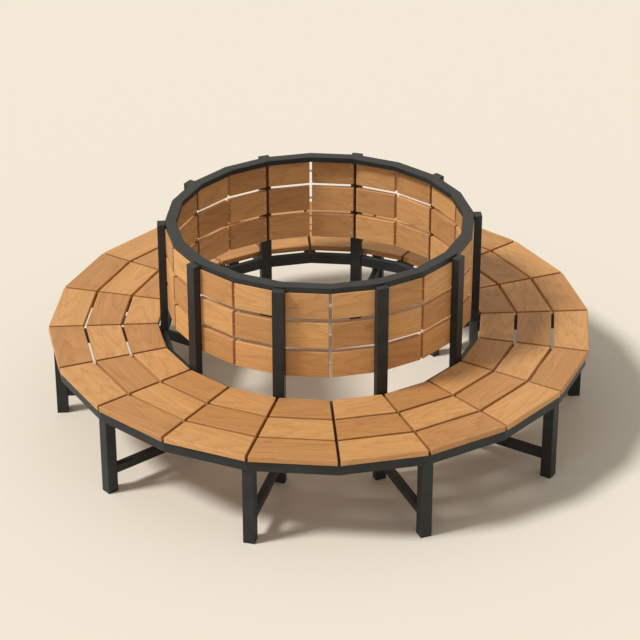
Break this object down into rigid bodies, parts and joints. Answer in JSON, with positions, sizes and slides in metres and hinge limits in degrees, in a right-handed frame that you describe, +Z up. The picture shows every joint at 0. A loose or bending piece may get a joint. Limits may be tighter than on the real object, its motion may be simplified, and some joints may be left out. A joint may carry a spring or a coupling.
{
  "type": "tree bench",
  "caption": "Ring bench that stands round a tree: mitred timber seat boards and a slatted ring backrest on a dark square-tube steel frame, open in the middle for the trunk.",
  "frame": {"origin": "middle of the bench, on the ground", "axes": "+Z up, -Y towards the front, where the middle of bay 01 is; +X to the right of someone who looks at the front"},
  "size_m": [2.398, 2.398, 0.929],
  "materials": {
    "seat_timber": "oiled hardwood boards in warm orange tan, next boards slightly darker or lighter",
    "back_timber": "oiled hardwood boards in warm orange tan",
    "frame_steel": "satin anthracite powder coat",
    "foot_plastic": "matt black",
    "bright_steel": "plain stainless steel"
  },
  "bodies": {
    "root": {"back_boards_bay_01": "back_timber", "back_boards_bay_02": "back_timber", "back_boards_bay_03": "back_timber", "back_boards_bay_04": "back_timber", "back_boards_bay_05": "back_timber", "back_boards_bay_06": "back_timber", "back_boards_bay_07": "back_timber", "back_boards_bay_08": "back_timber", "back_boards_bay_09": "back_timber", "back_boards_bay_10": "back_timber", "back_post_01": "frame_steel", "back_post_02": "frame_steel", "back_post_03": "frame_steel", "back_post_04": "frame_steel", "back_post_05": "frame_steel", "back_post_06": "frame_steel", "back_post_07": "frame_steel", "back_post_08": "frame_steel", "back_post_09": "frame_steel", "back_post_10": "frame_steel", "frame_bearers": "frame_steel", "inner_rim_front": "frame_steel", "inner_rim_rear": "frame_steel", "leg_foot_plugs": "foot_plastic", "loose_tongues": "bright_steel", "middle_bearers": "frame_steel", "outer_leg_01": "frame_steel", "outer_leg_02": "frame_steel", "outer_leg_03": "frame_steel", "outer_leg_04": "frame_steel", "outer_leg_05": "frame_steel", "outer_leg_06": "frame_steel", "outer_leg_07": "frame_steel", "outer_leg_08": "frame_steel", "outer_leg_09": "frame_steel", "outer_leg_10": "frame_steel", "outer_rim_front": "frame_steel", "outer_rim_rear": "frame_steel", "post_caps": "frame_steel", "post_foot_plugs": "foot_plastic", "rail_spigots": "frame_steel", "rim_cleats": "frame_steel", "rim_end_blocks": "frame_steel", "rim_spigots": "frame_steel", "seat_boards_bay_01": "seat_timber", "seat_boards_bay_02": "seat_timber", "seat_boards_bay_03": "seat_timber", "seat_boards_bay_04": "seat_timber", "seat_boards_bay_05": "seat_timber", "seat_boards_bay_06": "seat_timber", "seat_boards_bay_07": "seat_timber", "seat_boards_bay_08": "seat_timber", "seat_boards_bay_09": "seat_timber", "seat_boards_bay_10": "seat_timber", "splice_bolts": "bright_steel", "stretchers": "frame_steel", "top_rail_front": "frame_steel", "top_rail_rear": "frame_steel"}
  },
  "joints": []
}
